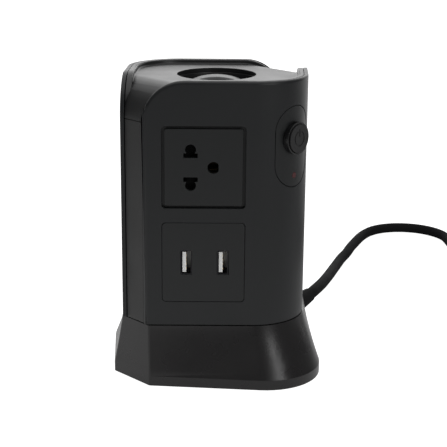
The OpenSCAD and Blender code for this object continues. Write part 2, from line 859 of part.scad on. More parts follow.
flange_r = collar_r + wall / 2;
collar_inner = sqrt(pow(corner_r - wall, 2) - pow(flange_r, 2)) - 2 * seam;
switch_face = collar_inner - wall;
module button_collar() {
  color("#232427") at_control(button_at) difference() {
    union() {
      outward(switch_face, corner_r + collar_proud) circle(collar_r - panel_fit - seam);
      outward(switch_face, collar_inner) circle(flange_r);
      difference() {
        outward(corner_r - 2 * wall, corner_r + collar_proud) circle(collar_r);
        translate([0, 0, -big / 2]) cylinder(h = big, r = corner_r + seam, $fn = 144);
      }
    }
    outward(0, corner_r + collar_proud + over) circle(button_r + button_gap);
  }
}

module power_button() {
  face = corner_r + button_proud;
  color("#303135") at_control(button_at) difference() {
    union() {
      outward(corner_r - wall, face) circle(button_r);
      outward(switch_face + button_travel + seam, face) circle(button_r - wall);
      outward(switch_face - button_travel, face) circle(plunger_r);
    }
    outward(face - icon_depth, face + over) difference() {
      circle(icon_r + icon_w / 2);
      circle(icon_r - icon_w / 2);
      translate([-icon_w * 1.4, 0]) square([icon_w * 2.8, big]);
    }
    outward(face - icon_depth, face + over) translate([-icon_w / 2, icon_r * 0.3]) square([icon_w, icon_r]);
  }
}

module power_switch() {
  color("#1a1b1c") at_control(button_at) difference() {
    outward(switch_face - switch_len, switch_face) square([switch_w, switch_w], center = true);
    outward(switch_face - 3 * button_travel, switch_face + over) circle(plunger_r + button_gap);
  }
}

module indicator_lens() {
  color("red") at_control(lamp_at) outward(corner_r - wall - seam, corner_r - panel_fit / 2)
    circle(lamp_d / 2, $fn = 32);
}

module indicator_led() {
  color("#8c1d1d") at_control(lamp_at) {
    outward(corner_r - wall - 4 * lamp_d / 3, corner_r - wall - seam) circle(lamp_d / 2, $fn = 32);
    outward(corner_r - wall - 5 * lamp_d / 3, corner_r - wall - 4 * lamp_d / 3)
      square([2 * lamp_d, 2 * lamp_d], center = true);
  }
}

// Frame that the tower's pieces are fixed to
holder_back = hd + front_z - holder_depth;
column_x = hw * 0.44;
frame_top = well_floor - wall;
wire_way = 3.2;
beam_y = -cy + (switch_face - switch_len - wire_bend) * cos(control_angle)
  - 2 * core_r * sin(control_angle) - core_r - wire_way;
deck_top = skirt_h + deck_t;
screw_boss_h = 7;
usb_back = hd + usb_board_z;
module inner_frame() {
  color("#4a4b4e") {
    difference() {
      translate([0, 0, skirt_h]) linear_extrude(deck_t) core_plan(core_in + seam, wall + seam);
      translate([cable_at[0], cable_at[1], skirt_h - over]) cylinder(h = deck_t + 2 * over, r = cable_hole_r);
      twice(tower_screw_at) translate([0, 0, skirt_h - over]) cylinder(h = deck_t + 2 * over, r = bore_r);
    }
    twice(tower_screw_at) translate([0, 0, deck_top - seam]) difference() {
      cylinder(h = screw_boss_h, r = boss_r);
      cylinder(h = screw_boss_h + over, r = bore_r);
    }
    for (turn = [0, 180]) rotate([0, 0, turn])
      translate([-column_x - deck_t, -holder_back, deck_top - seam])
        cube([deck_t, holder_back + beam_y, frame_top - deck_top + seam]);
    translate([-column_x - deck_t, -usb_back, lower_z - usb_board_w / 2])
      cube([deck_t, usb_back - holder_back + seam, usb_board_w]);
    translate([0, 0, frame_top - deck_t / 2])
      cube([2 * column_x + deck_t, 2 * beam_y, deck_t], center = true);
  }
}

// Bars that feed the sockets, on posts in the terminal block
strip = 1.4;
strip_h = 4;
block_w = 22;
block_h = 14;
block_gap = 4.25;
bar_in = 2.7;
block_front = -holder_back / 4;
block_back = holder_back - block_gap;
bar_at = [[-hw * 0.12, 0], [hw * 0.12, 0], [0, block_back - bar_in]];
module terminal_block() {
  color("#d9d6cc") difference() {
    translate([-block_w / 2, block_front, deck_top]) cube([block_w, block_back - block_front, block_h]);
    for (p = bar_at) translate([p[0], p[1], deck_top + block_h / 2 + big / 2])
      cube([strip_h + seam, strip + seam, big], center = true);
  }
}

module link(from, to, z) {
  run = to - from;
  translate([from[0], from[1], z]) rotate([0, 0, atan2(run[1], run[0])])
    translate([0, -strip / 2, -strip_h / 2]) cube([norm(run), strip, strip_h]);
}

// Strip from a bar to the contact tail of a socket on the front or the rear
module feed(bar, side, x, z) {
  tail = [side * (-panel_x + x), -side * holder_back];
  pad = [tail[0], tail[1] + side * strip];
  translate([tail[0], tail[1] + side * strip, z]) cube([strip_h, 2 * strip, strip_h], center = true);
  link(pad, bar_at[bar], z);
}

module bar(k, x, dz) {
  color("#b9773a") {
    translate([bar_at[k][0], bar_at[k][1], (deck_top + block_h / 2 + upper_z + dz + strip_h / 2) / 2])
      cube([strip_h, strip, upper_z + dz + strip_h / 2 - deck_top - block_h / 2], center = true);
    feed(k, 1, x, upper_z + dz);
    feed(k, -1, x, upper_z + dz);
    feed(k, -1, x, lower_z + dz);
  }
}

module live_bar() { bar(0, hole_x, pad_y); }

module neutral_bar() { bar(1, hole_x, -pad_y); }

module earth_bar() { bar(2, earth_x, 0); }

// Surge board on the right column
surge_gap = 5.75;
surge_w = 2 * (holder_back - surge_gap);
surge_h = 50;
surge_z = lower_z + wall;
surge_x = column_x + deck_t;
module surge_board() {
  color("#1f6b3a") translate([surge_x + usb_board_t / 2, 0, surge_z])
    cube([usb_board_t, surge_w, surge_h], center = true);
}

varistor_r = 6;
relay_len = 16.8;
can_len = 19.6;
module surge_board_parts() {
  face = surge_x + usb_board_t;
  for (k = [-1, 1]) color("#2f55a4") translate([face, k * varistor_r * 1.1, surge_z + surge_h * 0.3])
    rotate([0, 90, 0]) cylinder(h = varistor_r * 0.7, r = varistor_r, $fn = 48);
  color("#c9b23a") translate([face + varistor_r, 0, surge_z])
    cube([2 * varistor_r, relay_len, 2 * varistor_r], center = true);
  color("#d8dde0") translate([face + cap_r, 0, surge_z - surge_h * 0.32]) rotate([90, 0, 0])
    cylinder(h = can_len, r = cap_r * 0.8, center = true, $fn = 32);
  color("#d8dde0") translate([face + cap_r / 2, 0, surge_z - surge_h * 0.32])
    cube([cap_r, can_len * 0.6, cap_r], center = true);
}

// Wires inside the tower, each between two named places
wire_spread = 1.5;
function along_relief(t) = [
  relief_mid[0] + t * cos(relief_turn), relief_mid[1] + t * sin(relief_turn), relief_z];
module supply_wires() {
  colors = ["#6b4a2a", "#2c5fa8", "#4e9a3a"];
  for (k = [0:2]) {
    off = (k - 1) * 2.5 * core_r;
    target = [wire_spread * off, block_back];
    start = along_relief(relief_inner);
    color(colors[k]) tube([
      start + [0, 0, off], along_relief(relief_inner - 3 * core_r) + [0, 0, off],
      [cable_at[0] + 2 * cable_hole_r, cable_at[1] + off, (relief_z + rim_top) / 2 + off / 2],
      [cable_at[0] + cable_hole_r / 2 + off, cable_at[1], relief_z + off / 2],
      [cable_at[0] + off, cable_at[1], skirt_h - wall], [cable_at[0] + off, cable_at[1], deck_top],
      [(cable_at[0] + target[0]) / 2 + off, cable_at[1] - core_r, deck_top + block_h * 0.45],
      [target[0], block_back + 2 * core_r, deck_top + block_h * 0.55],
      [target[0], block_back, deck_top + block_h * 0.55]
    ], core_r, 8, [0.1, 0.2, 1]);
  }
}

module switch_wires() {
  mid = switch_face - switch_len;
  out = [sin(control_angle), -cos(control_angle)];
  color("#202020") for (s = [-1, 1]) {
    x = column_x * 0.8 + s * 2 * core_r;
    y = -holder_back * 0.68;
    end = [cx, cy] + mid * out + s * 2 * core_r * [cos(control_angle), sin(control_angle)];
    near = end - wire_bend * out;
    tube([
      [block_w / 2, block_front / 2 - s * 2 * core_r, deck_top + block_h / 2],
      [block_w / 2 + 2 * core_r, block_front / 2 - s * 2 * core_r, deck_top + block_h / 2],
      [x, y, deck_top + 2 * block_h], [x, y, upper_z - strip_h], [near[0], near[1], button_at - 2 * core_r],
      [near[0], near[1], button_at] + [0, 0, 0], [end[0], end[1], button_at]
    ], core_r, 8, [0.1, 1, 0.3]);
  }
}

// Strain relief: flange inside the skirt, neck through it, tapered sleeve outside
relief_out = 4.8;
relief_in = 3.2;
relief_inner = -wall - relief_in;
module strain_relief() {
  flange = relief_neck_r + wall / 2;
  root = relief_neck_r + wall / 4;
  color("#202124") at_relief() rotate_extrude() polygon([
    [0, relief_inner], [flange, relief_inner],
    [flange, relief_inner + wall], [relief_neck_r, relief_inner + wall],
    [relief_neck_r, relief_out], [root, relief_out], [root, relief_out + wall],
    [relief_d / 2, relief_len], [0, relief_len]
  ]);
}

// Cord: straight out of the strain relief, down to the table, round behind, and to its coil.
// Each place of the route is taken from the relief's end and the table
cord_r = cord_d / 2;
relief_end = along_relief(relief_len);
route = [
  [4.5, 10.2, 14.6], [7.4, 18.6, 13.8], [11.6, 33.6, 11.6], [14.1, 43.8, 10.1], [17.5, 59, 7.6],
  [25.3, 93, 2.8], [28.8, 106.9, 1.3], [33, 121.5, 0.4], [37.1, 132.4, 0.1], [42.3, 148.4, 0.1],
  [47.9, 163.4, 0.1], [52.3, 174.4, 0.1], [58.5, 186, 0.1], [63.5, 192.4, 0.1], [70.1, 197.6, 0.1],
  [77.8, 200.9, 0.1], [86.1, 202, 0.1], [94.4, 200.9, 0.1], [102.1, 197.7, 0.1], [108.7, 192.6, 0.1],
  [113.8, 186, 0.1], [117, 178.3, 0.1], [118.1, 170, 0.1], [118.7, 154.4, 0.1], [119.7, 138.4, 0.5],
  [120.9, 122.4, 1]
];
coil_at = [relief_end[0], relief_end[1]] + [174.5, 98.4];
coil_pitch = cord_d + coil_space;
tie_t = 1;
tie_under = 0.2;
coil_z = cord_r + tie_t + tie_under;
coil_turns = 3;
coil_out = coil_d / 2 + coil_pitch * coil_turns / 2;
coil_in = coil_out - coil_pitch * coil_turns;
coil_start = [coil_at[0] - coil_out, coil_at[1], coil_z];
free_route = concat(
  [relief_end, along_relief(relief_len + cord_r)],
  [for (p = route) [relief_end[0] + p[0], relief_end[1] + p[1], cord_r + p[2]]],
  [coil_start + [0, 2 * cord_d, 0], coil_start + [0, cord_d, 0]]
);
module cord() {
  color("#232427") tube(free_route, cord_r, 10, [0, 0, 1]);
}

// Two layers: in over the first turns, up a layer in half a turn, and out again
function coil_radius(t) =
  t < coil_turns + 0.25 ? coil_out - coil_pitch * t :
  coil_in + coil_pitch * abs(t - coil_turns - 0.5) * (t < coil_turns + 0.5 ? -1 : 1);
function climb(t) = let (x = min(max((t - coil_turns) * 2, 0), 1)) x * x * (3 - 2 * x);
function coil_point(t) = [
  coil_at[0] + coil_radius(t) * cos(180 + 360 * t), coil_at[1] + coil_radius(t) * sin(180 + 360 * t),
  coil_z + coil_pitch * climb(t)];
coil_total = 2 * coil_turns + 0.25;
coil_rings = 24;
tail_turn = 30;
tail_r = 34;
tail_steps = 4;
coil_end = coil_point(coil_total);
tail_dir = [cos(tail_turn), -sin(tail_turn), 0];
tail_end = coil_end + tail_r * [sin(tail_turn), cos(tail_turn) - 1, 0];
plug_start = tail_end + cord_d * tail_dir;
coil_route = concat(
  [coil_start + [0, cord_d, 0]],
  [for (k = [0:coil_total * coil_rings]) coil_point(k / coil_rings)],
  [for (k = [1:tail_steps]) let (a = tail_turn * k / tail_steps) coil_end + tail_r * [sin(a), cos(a) - 1, 0]],
  [plug_start]
);
function total(v, k = 0) = k == len(v) ? 0 : v[k] + total(v, k + 1);
function route_len(p) = total([for (k = [1:len(p) - 1]) norm(p[k] - p[k - 1])]);
coil_gap = min([for (j = [0:len(coil_route) - 1], k = [0:len(coil_route) - 1])
  if (k > j + coil_rings / 2) norm(coil_route[k] - coil_route[j])]) - cord_d;
echo(free_length = route_len(free_route), coil_length = route_len(coil_route), coil_gap = coil_gap);
module cord_coil() {
  color("#232427") tube(coil_route, cord_r, 6, [0, 0, 1]);
}

// Strap round the bundle of turns
tie_w = 11;
tie_gap = 0.35;
tie_angle = 45;
module coil_tie() {
  inner = sqrt(pow(coil_in - coil_pitch * 0.1 - cord_r, 2) - pow(tie_w / 2, 2)) - tie_gap;
  outer = coil_out - coil_pitch * 0.55 + cord_r + tie_gap;
  top = coil_z + coil_pitch + cord_r + tie_gap;
  color("#2b2b2b") translate([coil_at[0], coil_at[1], 0]) rotate([0, 0, tie_angle]) rotate([90, 0, 0])
    linear_extrude(tie_w, center = true) difference() {
      translate([inner - tie_t, 0]) square([outer - inner + 2 * tie_t, top + tie_t]);
      translate([inner, tie_t]) square([outer - inner, top - tie_t]);
    }
}

// Moulded plug, lying on the table: +x runs out of its pins
sleeve_len = 22;
sleeve_r = 7;
plug_corner_r = 7;
pin_len = 19;
module at_plug() {
  translate([plug_start[0], plug_start[1], 0]) rotate([0, 0, -tail_turn]) children();
}

module plug_body() {
  axis_z = plug_start[2];
  color("#232427") at_plug() {
    translate([0, 0, axis_z]) rotate([0, 90, 0]) rotate_extrude() polygon([
      [0, 0], [cord_r + wall / 3, 0], [sleeve_r, sleeve_len],
      [sleeve_r, sleeve_len + plug_corner_r], [0, sleeve_len + plug_corner_r]
    ]);
    translate([sleeve_len + plug_len / 2, 0, 0]) linear_extrude(plug_t) {
      square([plug_len - 2 * plug_corner_r, plug_w], center = true);
      square([plug_len, plug_w - 2 * plug_corner_r], center = true);
      for (sx = [-1, 1], sy = [-1, 1])
        translate([sx * (plug_len / 2 - plug_corner_r), sy * (plug_w / 2 - plug_corner_r)])
          circle(plug_corner_r, $fn = 48);
    }
  }
}

module plug_pins() {
  low = (plug_t - earth_dx) / 2;
  color("#d8b45a") at_plug() for (p = [[-pin_pitch / 2, low], [pin_pitch / 2, low], [0, low + earth_dx]])
    translate([sleeve_len + plug_len, p[0], p[1]]) rotate([0, 90, 0]) {
      cylinder(h = pin_len - pin_d / 2, r = pin_d / 2, $fn = 32);
      translate([0, 0, pin_len - pin_d / 2]) intersection() {
        sphere(pin_d / 2, $fn = 32);
        cylinder(h = pin_d, r = pin_d);
      }
    }
}

front_shell();
rear_shell();
top_cover();
grip_well();
left_side_panel();
right_side_panel();
base_skirt();
base_plate();
base_feet();
base_screws();
inner_frame();
tower_screws();
for (place = [["front", 0, upper_z], ["rear_upper", 180, upper_z], ["rear_lower", 180, lower_z]]) {
  name = place[0];
  at_panel(place[1], place[2]) {
    socket_face();
    socket_holder();
    power_contacts();
    earth_contact();
    socket_shutter();
    shutter_spring();
  }
}
at_panel(0, lower_z) {
  usb_panel();
  usb_port_shells();
  usb_tongues();
  usb_contacts();
  usb_board();
  usb_board_parts();
}
control_panel();
button_collar();
power_button();
power_switch();
indicator_lens();
indicator_led();
terminal_block();
live_bar();
neutral_bar();
earth_bar();
surge_board();
surge_board_parts();
supply_wires();
switch_wires();
strain_relief();
cord();
cord_coil();
coil_tie();
plug_body();
plug_pins();
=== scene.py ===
import json
import math

import bmesh
import bpy
from mathutils import Matrix, Vector
from mathutils.bvhtree import BVHTree

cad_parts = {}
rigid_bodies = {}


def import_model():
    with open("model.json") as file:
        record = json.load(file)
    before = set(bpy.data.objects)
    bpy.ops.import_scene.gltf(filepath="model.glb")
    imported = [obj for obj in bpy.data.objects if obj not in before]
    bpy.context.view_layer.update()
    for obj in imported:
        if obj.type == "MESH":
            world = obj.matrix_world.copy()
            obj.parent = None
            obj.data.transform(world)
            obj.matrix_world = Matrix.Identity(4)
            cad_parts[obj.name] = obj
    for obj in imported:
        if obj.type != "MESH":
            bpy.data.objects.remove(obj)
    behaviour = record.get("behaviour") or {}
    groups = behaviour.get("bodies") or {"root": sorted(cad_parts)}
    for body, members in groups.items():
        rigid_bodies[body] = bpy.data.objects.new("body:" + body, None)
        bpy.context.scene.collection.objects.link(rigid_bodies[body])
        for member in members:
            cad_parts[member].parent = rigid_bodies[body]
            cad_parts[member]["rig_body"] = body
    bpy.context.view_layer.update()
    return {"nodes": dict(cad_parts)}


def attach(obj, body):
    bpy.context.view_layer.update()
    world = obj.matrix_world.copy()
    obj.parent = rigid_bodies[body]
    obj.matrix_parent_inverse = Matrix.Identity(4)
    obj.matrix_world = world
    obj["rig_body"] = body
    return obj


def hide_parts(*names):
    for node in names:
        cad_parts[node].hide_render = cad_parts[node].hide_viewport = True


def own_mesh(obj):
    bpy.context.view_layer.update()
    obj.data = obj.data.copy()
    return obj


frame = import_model()

# Camera. The tower is photographed from a little above, square to its front face, with
# a long lens. The lens and the place come from the tower's own edges and pin holes.
lens = bpy.data.cameras.new("studio_lens")
lens.sensor_fit = "HORIZONTAL"
lens.sensor_width = 36
lens.lens = 96.91
tripod = bpy.data.objects.new("studio_camera", lens)
stand = Vector((-0.001114, -0.64758, 0.26459))
right = Vector((0.99994686, -0.00611255, 0.00830088))
above = Vector((-0.00629308, 0.27582017, 0.96118866))
back = Vector((-0.00816486, -0.96118982, 0.27576705))
tripod.matrix_world = Matrix((
    (right.x, above.x, back.x, stand.x),
    (right.y, above.y, back.y, stand.y),
    (right.z, above.z, back.z, stand.z),
    (0, 0, 0, 1),
))
bpy.context.scene.collection.objects.link(tripod)
bpy.context.scene.camera = tripod

# Mains cord. A round PVC sheath leaves the foot through its strain relief, drops to the
# table and bends behind the tower to the edge of the view. What is left is coiled there.
cord_d = 0.0071
relief_mouth = Vector((0.0575573, 0.0516267, 0.0186))
relief_run = Vector((0.469472, 0.882948, 0))
# In millimetres: across and back from the relief's mouth, and up from lying on the table.
laid = [
    (4.5, 10.2, 14.6), (7.4, 18.6, 13.8), (11.6, 33.6, 11.6), (14.1, 43.8, 10.1),
    (17.5, 59, 7.6), (25.3, 93, 2.8), (28.8, 106.9, 1.3), (33, 121.5, 0.4),
    (37.1, 132.4, 0.1), (42.3, 148.4, 0.1), (47.9, 163.4, 0.1), (52.3, 174.4, 0.1),
    (58.5, 186, 0.1), (63.5, 192.4, 0.1), (70.1, 197.6, 0.1), (77.8, 200.9, 0.1),
    (86.1, 202, 0.1), (94.4, 200.9, 0.1), (102.1, 197.7, 0.1), (108.7, 192.6, 0.1),
    (113.8, 186, 0.1), (117, 178.3, 0.1), (118.1, 170, 0.1), (118.7, 154.4, 0.1),
    (119.7, 138.4, 0.5), (120.9, 122.4, 1),
]
coil_d, coil_pitch, coil_turns, turns_in = 0.082, 0.00765, 6.25, 3
coil_middle, coil_floor = (0.232057, 0.150027), 0.00475
coil_out = coil_d / 2 + coil_pitch * turns_in / 2
coil_in = coil_out - coil_pitch * turns_in
climb_turns, turn_steps = 0.5, 24


def coil_place(turn):
    """The lower layer winds in, climbs within half a turn, and the upper layer winds out."""
    if turn < turns_in + climb_turns / 2:
        reach = coil_out - coil_pitch * turn
    elif turn < turns_in + climb_turns:
        reach = coil_in - coil_pitch * (turns_in + climb_turns - turn)
    else:
        reach = coil_in + coil_pitch * (turn - turns_in - climb_turns)
    climb = min(max((turn - turns_in) / climb_turns, 0), 1)
    angle = math.pi + 2 * math.pi * turn
    return Vector((
        coil_middle[0] + reach * math.cos(angle), coil_middle[1] + reach * math.sin(angle),
        coil_floor + coil_pitch * climb * climb * (3 - 2 * climb),
    ))


cord_line = [relief_mouth, relief_mouth + relief_run * cord_d / 2]
cord_line += [
    Vector((relief_mouth.x + x / 1000, relief_mouth.y + y / 1000, cord_d / 2 + z / 1000))
    for x, y, z in laid
]
cord_line += [coil_place(0) + Vector((0, gap * cord_d, 0)) for gap in (2, 1)]
cord_line += [coil_place(step / turn_steps) for step in range(int(coil_turns * turn_steps) + 1)]
tail_reach, tail_turn = 0.034, math.radians(30)
coil_last = cord_line[-1]
for step in (0.25, 0.5, 0.75, 1):
    bend = tail_turn * step
    cord_line.append(coil_last + tail_reach * Vector((math.sin(bend), math.cos(bend) - 1, 0)))
plug_run = Vector((math.cos(tail_turn), -math.sin(tail_turn), 0))
cord_line.append(cord_line[-1] + cord_d * plug_run)

sheath = bpy.data.curves.new("mains_cord", "CURVE")
sheath.dimensions = "3D"
sheath.bevel_depth = cord_d / 2
sheath.bevel_resolution = 6
sheath.resolution_u = 6
sheath.use_fill_caps = True
spline = sheath.splines.new("BEZIER")
spline.bezier_points.add(len(cord_line) - 1)
for point, place in zip(spline.bezier_points, cord_line):
    point.co = place
    point.handle_left_type = point.handle_right_type = "AUTO"


def span(nodes, links, value, low, high, to_low, to_high):
    """A value stretched between two ends, each a number or a socket."""
    stretch = nodes.new("ShaderNodeMapRange")
    for label, end in (
        ("From Min", low), ("From Max", high), ("To Min", to_low), ("To Max", to_high),
    ):
        if isinstance(end, (int, float)):
            stretch.inputs[label].default_value = end
        else:
            links.new(end, stretch.inputs[label])
    links.new(value, stretch.inputs["Value"])
    return stretch.outputs["Result"]


def eroded_grain():
    """The even pits of a spark-eroded mould, a sheen clouded by hands, and paler edges."""
    group = bpy.data.node_groups.new("eroded_grain", "ShaderNodeTree")
    colour, number, direction = "NodeSocketColor", "NodeSocketFloat", "NodeSocketVector"
    for way, sockets in (
        ("INPUT", (
            ("Dark", colour), ("Pale", colour), ("Pits per metre", number), ("Depth", number),
            ("Smooth sheen", number), ("Rubbed sheen", number), ("Edge wear", number),
        )),
        ("OUTPUT", (("Base Color", colour), ("Roughness", number), ("Normal", direction))),
    ):
        for label, kind in sockets:
            group.interface.new_socket(name=label, in_out=way, socket_type=kind)
    nodes, links = group.nodes, group.links
    start, end = nodes.new("NodeGroupInput"), nodes.new("NodeGroupOutput")
    place = nodes.new("ShaderNodeTexCoord")
    clouds = {}
    for label, detail in (("pits", 3), ("cloud", 4), ("scuff", 5)):
        clouds[label] = nodes.new("ShaderNodeTexNoise")
        clouds[label].inputs["Detail"].default_value = detail
        links.new(place.outputs["Object"], clouds[label].inputs["Vector"])
    clouds["cloud"].inputs["Scale"].default_value = 42
    clouds["scuff"].inputs["Scale"].default_value = 260
    links.new(start.outputs["Pits per metre"], clouds["pits"].inputs["Scale"])
    bump = nodes.new("ShaderNodeBump")
    bump.inputs["Distance"].default_value = 0.0001
    links.new(start.outputs["Depth"], bump.inputs["Strength"])
    links.new(clouds["pits"].outputs["Fac"], bump.inputs["Height"])

    soft = nodes.new("ShaderNodeBevel")
    soft.samples = 4
    soft.inputs["Radius"].default_value = 0.0007
    shape = nodes.new("ShaderNodeNewGeometry")
    facing = nodes.new("ShaderNodeVectorMath")
    facing.operation = "DOT_PRODUCT"
    links.new(soft.outputs["Normal"], facing.inputs[0])
    links.new(shape.outputs["Normal"], facing.inputs[1])
    flat, sharp = 1.0, 0.86
    wear = span(nodes, links, facing.outputs["Value"], flat, sharp, 0, 1)
    untouched, scuffed = 0.35, 0.62
    scuffs = span(nodes, links, clouds["scuff"].outputs["Fac"], untouched, scuffed, 0, 1)
    for factor in (scuffs, start.outputs["Edge wear"]):
        rub = nodes.new("ShaderNodeMath")
        rub.operation = "MULTIPLY"
        links.new(wear, rub.inputs[0])
        links.new(factor, rub.inputs[1])
        wear = rub.outputs["Value"]

    tint = nodes.new("ShaderNodeMix")
    tint.data_type = "RGBA"
    links.new(clouds["cloud"].outputs["Fac"], tint.inputs["Factor"])
    links.new(start.outputs["Dark"], tint.inputs["A"])
    links.new(start.outputs["Pale"], tint.inputs["B"])
    lift = nodes.new("ShaderNodeMix")
    lift.data_type = "RGBA"
    lift.blend_type = "ADD"
    links.new(wear, lift.inputs["Factor"])
    links.new(tint.outputs["Result"], lift.inputs["A"])
    links.new(start.outputs["Pale"], lift.inputs["B"])
    links.new(lift.outputs["Result"], end.inputs["Base Color"])

    clear, clouded, rubbed_shine = 0.3, 0.7, -0.12
    sheen = span(
        nodes, links, clouds["cloud"].outputs["Fac"], clear, clouded,
        start.outputs["Smooth sheen"], start.outputs["Rubbed sheen"],
    )
    polish = nodes.new("ShaderNodeMath")
    polish.operation = "MULTIPLY_ADD"
    polish.inputs[1].default_value = rubbed_shine
    links.new(wear, polish.inputs[0])
    links.new(sheen, polish.inputs[2])
    links.new(polish.outputs["Value"], end.inputs["Roughness"])
    links.new(bump.outputs["Normal"], end.inputs["Normal"])
    return group


grain = eroded_grain()


def moulded(name, dark, pale, sheen, specular=0.5, depth=0.3, pits=1800, wear=0.4):
    """Plastic or rubber straight out of the mould, clouded between two colours."""
    material = bpy.data.materials.new(name)
    material.use_nodes = True
    nodes, links = material.node_tree.nodes, material.node_tree.links
    surface = nodes["Principled BSDF"]
    surface.inputs["Specular IOR Level"].default_value = specular
    skin = nodes.new("ShaderNodeGroup")
    skin.node_tree = grain
    for label, value in (
        ("Dark", (*dark, 1)), ("Pale", (*pale, 1)), ("Pits per metre", pits), ("Depth", depth),
        ("Smooth sheen", sheen[0]), ("Rubbed sheen", sheen[1]), ("Edge wear", wear),
    ):
        skin.inputs[label].default_value = value
    for label in ("Base Color", "Roughness", "Normal"):
        links.new(skin.outputs[label], surface.inputs[label])
    return material


sheath_black = moulded(
    "cord_sheath", (0.012, 0.012, 0.0125), (0.016, 0.016, 0.0165), sheen=(0.62, 0.72),
    specular=0.015, depth=0.03, pits=900, wear=0,
)
sheath.materials.append(sheath_black)
mains_cord = bpy.data.objects.new("mains_cord", sheath)
bpy.context.scene.collection.objects.link(mains_cord)
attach(mains_cord, "tower")
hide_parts("cord", "cord_coil")

# Points this close are one point, and faces this nearly level are one face. A point that
# lies further off the moulding than this share of the width, and a little more, is astray.
one_point, one_face = 2e-6, math.radians(0.6)
stray_share, stray_least = 0.3, 0.0001


def edged(
    name, piece_name, material, width,
    angle=32, rounds=3, broad=None, fine=0.25, held=True,
):
    """The same moulding with its sharp edges rounded, as they leave the mould.

    broad(middle) is an edge's share of the width above the fine part that each edge gets.
    A rounding that isn't held within its faces has its stray points put back on them.
    """
    node = frame["nodes"][name]
    mesh = bmesh.new()
    mesh.from_mesh(node.data)
    bmesh.ops.remove_doubles(mesh, verts=mesh.verts, dist=one_point)
    bmesh.ops.dissolve_limit(mesh, angle_limit=one_face, verts=mesh.verts, edges=mesh.edges)
    weights = mesh.edges.layers.float.new("bevel_weight_edge")
    for edge in mesh.edges:
        if len(edge.link_faces) == 2 and edge.calc_face_angle(0) > math.radians(angle):
            middle = (edge.verts[0].co + edge.verts[1].co) / 2
            share = 1 if broad is None else broad(middle)
            edge[weights] = max(fine + (1 - fine) * share, 0)
    made = bpy.data.meshes.new(piece_name)
    mesh.to_mesh(made)
    mesh.free()
    made.materials.clear()
    made.materials.append(material)
    made.polygons.foreach_set("use_smooth", [True] * len(made.polygons))
    piece = bpy.data.objects.new(piece_name, made)
    bpy.context.scene.collection.objects.link(piece)
    soft = piece.modifiers.new("rounded edges", "BEVEL")
    soft.limit_method = "WEIGHT"
    soft.width = width
    soft.segments = rounds
    soft.use_clamp_overlap = held
    soft.miter_outer = "MITER_ARC"
    if not held:
        view = bpy.context.evaluated_depsgraph_get()
        piece.data = bpy.data.meshes.new_from_object(piece.evaluated_get(view))
        piece.modifiers.clear()
        skin = BVHTree.FromPolygons(
            [corner.co for corner in node.data.vertices],
            [face.vertices for face in node.data.polygons],
        )
        for point in piece.data.vertices:
            nearest, _, _, off = skin.find_nearest(point.co)
            if off > stray_share * width + stray_least:
                point.co = nearest
    level = piece.modifiers.new("level faces", "WEIGHTED_NORMAL")
    level.mode = "FACE_AREA"
    level.weight = 90
    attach(piece, node["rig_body"])
    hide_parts(name)
    return piece


strap_black = moulded(
    "strap_weave", (0.012, 0.012, 0.013), (0.03, 0.03, 0.032), sheen=(0.7, 0.85),
    specular=0.3, depth=0.9, pits=1400,
)
coil_strap = edged("coil_tie", "coil_strap", strap_black, width=0.0003, rounds=2)
plug_rubber = moulded(
    "plug_rubber", (0.014, 0.014, 0.015), (0.021, 0.021, 0.022), sheen=(0.42, 0.52),
    depth=0.4, pits=1500,
)
plug_moulding = edged(
    "plug_body", "plug_moulding", plug_rubber, width=0.0012, angle=50,
)
relief_moulding = edged(
    "strain_relief", "relief_moulding", sheath_black, width=0.0005, angle=40,
)

# Pins and screws. Nickel-plated, and drawn or rolled to size, which leaves faint lines along
# each piece. The screws hold the plate to the foot and the foot to the tower.
draw_lines, draw_stretch, plating_shade = 900, 0.05, 0.86


def drawn_metal(name, colour, low, high):
    """Bare or plated metal with its faint lines, between two roughnesses."""
    material = bpy.data.materials.new(name)
    material.use_nodes = True
    nodes, links = material.node_tree.nodes, material.node_tree.links
    surface = nodes["Principled BSDF"]
    surface.inputs["Metallic"].default_value = 1
    place = nodes.new("ShaderNodeTexCoord")
    stretch = nodes.new("ShaderNodeMapping")
    stretch.inputs["Scale"].default_value = (1, 1, draw_stretch)
    streak = nodes.new("ShaderNodeTexNoise")
    streak.inputs["Scale"].default_value = draw_lines
    streak.inputs["Detail"].default_value = 2
    links.new(place.outputs["Object"], stretch.inputs["Vector"])
    links.new(stretch.outputs["Vector"], streak.inputs["Vector"])
    polish = span(nodes, links, streak.outputs["Fac"], 0, 1, low, high)
    links.new(polish, surface.inputs["Roughness"])
    tone = nodes.new("ShaderNodeMix")
    tone.data_type = "RGBA"
    tone.inputs["A"].default_value = (*[c * plating_shade for c in colour], 1)
    tone.inputs["B"].default_value = (*colour, 1)
    links.new(streak.outputs["Fac"], tone.inputs["Factor"])
    links.new(tone.outputs["Result"], surface.inputs["Base Color"])
    return material


def finished(material, *names):
    """Gives CAD nodes of the right shape their finish."""
    for name in names:
        node = frame["nodes"][name]
        node.data.materials.clear()
        node.data.materials.append(material)


nickel = drawn_metal("nickel_plate", (0.62, 0.61, 0.58), 0.2, 0.34)
finished(nickel, "plug_pins", "base_screws", "tower_screws")

# Tower shells. Two mouldings of matt black plastic wrap the front and the back, each with
# one large round corner, and meet the skirt at a thin open seam.
shell_black = moulded(
    "shell_plastic", (0.0085, 0.0095, 0.0105), (0.0115, 0.0125, 0.0135), sheen=(0.38, 0.46),
    specular=0.42,
)
rim_top, rim_round, face_out = 0.1655, 0.0019, 0.0413
corner_middle, corner_least = (0.0197, -0.0123), 0.0285
bend_middle, bend_r, bend_fade = (-0.0165, 0.1435), 0.022, 0.012
corner_fade = 0.8
# An edge counts as lying along a line of the rim when it is this near to it.
near_top, near_face, near_bend = 0.0002, 0.0004, 0.0005


